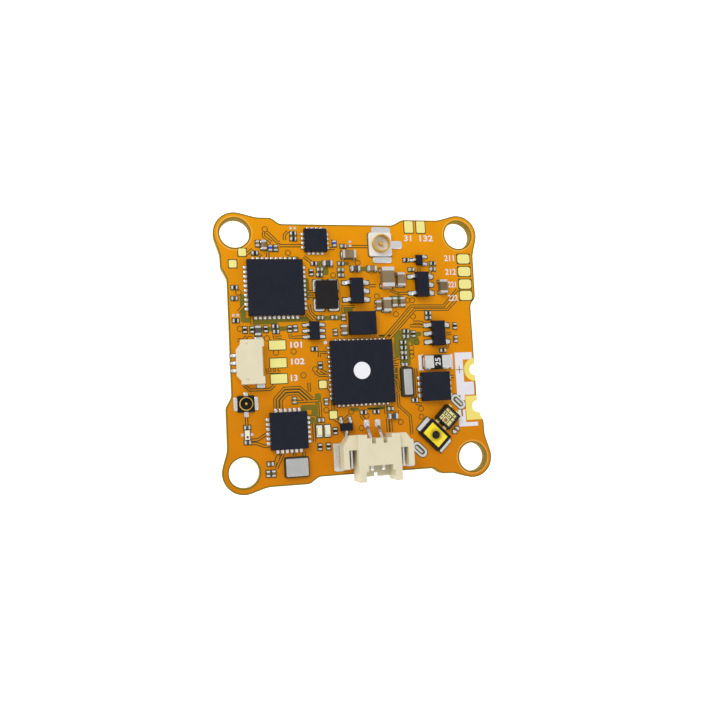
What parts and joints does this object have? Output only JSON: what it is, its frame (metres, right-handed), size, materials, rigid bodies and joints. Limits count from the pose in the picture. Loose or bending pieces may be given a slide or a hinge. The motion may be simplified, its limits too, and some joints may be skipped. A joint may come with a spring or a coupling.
{
  "type": "flight controller board",
  "caption": "Square orange drone flight controller board with corner mounting holes, chips, camera and accessory sockets, antenna connectors, battery pads and a boot button that presses.",
  "frame": {"origin": "centre of the four mounting holes on the underside of the board", "axes": "+Z out of the component side, +Y towards the edge with the video antenna connector, +X towards the edge with the battery pads"},
  "size_m": [0.03, 0.03, 0.0063],
  "materials": {
    "black_ceramic": "dark fired ceramic, satin",
    "black_resin": "moulded resin, satin",
    "black_rubber": "moulded actuator, semi-gloss",
    "chip_resin": "moulded epoxy, fine matt grain",
    "clear_resin": "clear epoxy",
    "cream_nylon": "moulded nylon, fine grain",
    "gold_plate": "immersion gold, satin",
    "grey_ceramic": "fired ceramic, matt",
    "lamp_resin": "translucent lamp resin",
    "lid_metal": "nickel-plated lid, satin",
    "shell_steel": "nickel-plated steel, bright",
    "solder_mask_board": "orange solder mask over glass-epoxy laminate, semi-gloss",
    "spring_steel": "sprung steel, bright",
    "tan_ceramic": "fired barium titanate, matt",
    "tinned_metal": "tinned terminals, bright",
    "tinned_plate": "tinned plating, bright",
    "white_ceramic": "white ceramic, satin",
    "white_resin": "moulded resin, satin",
    "yellow_film": "glossy polyimide film"
  },
  "bodies": {
    "board": {"accessory_socket_contacts": "tinned_metal", "accessory_socket_housing": "cream_nylon", "accessory_socket_nails": "tinned_metal", "antenna_filter": "white_ceramic", "battery_pad_negative": "gold_plate", "battery_pad_positive": "gold_plate", "bent_leads": "tinned_metal", "button_dome": "spring_steel", "button_film": "yellow_film", "button_housing": "black_resin", "button_terminals": "tinned_metal", "camera_socket_contacts": "tinned_metal", "camera_socket_housing": "cream_nylon", "ceramic_capacitors": "tan_ceramic", "chip_end_caps": "tinned_metal", "chip_inductors": "grey_ceramic", "chip_resistors": "black_ceramic", "circuit_board": "solder_mask_board", "colour_led_body": "black_resin", "colour_led_fill": "clear_resin", "colour_led_frame": "gold_plate", "current_shunt": "black_ceramic", "current_shunt_terminals": "tinned_metal", "gyro_chip": "chip_resin", "main_processor": "chip_resin", "main_processor_contacts": "tinned_metal", "motor_controller_chips": "chip_resin", "motor_driver_chips": "chip_resin", "motor_socket_contacts": "tinned_metal", "motor_socket_housings": "cream_nylon", "power_switch_chip": "chip_resin", "power_switch_contacts": "tinned_metal", "processor_crystal_base": "grey_ceramic", "processor_crystal_lid": "lid_metal", "receiver_antenna_base": "black_resin", "receiver_antenna_pin": "gold_plate", "receiver_antenna_shell": "gold_plate", "receiver_chip": "chip_resin", "receiver_contacts": "tinned_metal", "receiver_crystal_base": "grey_ceramic", "receiver_crystal_lid": "lid_metal", "regulator_chips": "chip_resin", "rf_amplifier_chip": "chip_resin", "rf_amplifier_contacts": "tinned_metal", "signal_pads": "gold_plate", "small_chip_bodies": "chip_resin", "status_lamp_bases": "white_resin", "status_lamp_lenses": "lamp_resin", "transmitter_crystal": "black_ceramic", "transmitter_crystal_pads": "tinned_metal", "underside_contacts": "tinned_metal", "usb_slot_plating": "tinned_plate", "usb_socket_core": "black_resin", "usb_socket_shell": "shell_steel", "video_antenna_base": "white_resin", "video_antenna_pin": "gold_plate", "video_antenna_shell": "gold_plate", "video_transmitter_chip": "chip_resin", "video_transmitter_contacts": "tinned_metal"},
    "button": {"button_nub": "black_rubber"}
  },
  "joints": [
    {"name": "button_press", "type": "slide", "parent": "board", "child": "button", "axis": [0, 0, -1], "range_m": [0, 0.00015], "stiffness_N_per_m": 6000, "deforming": ["button_dome"]}
  ]
}
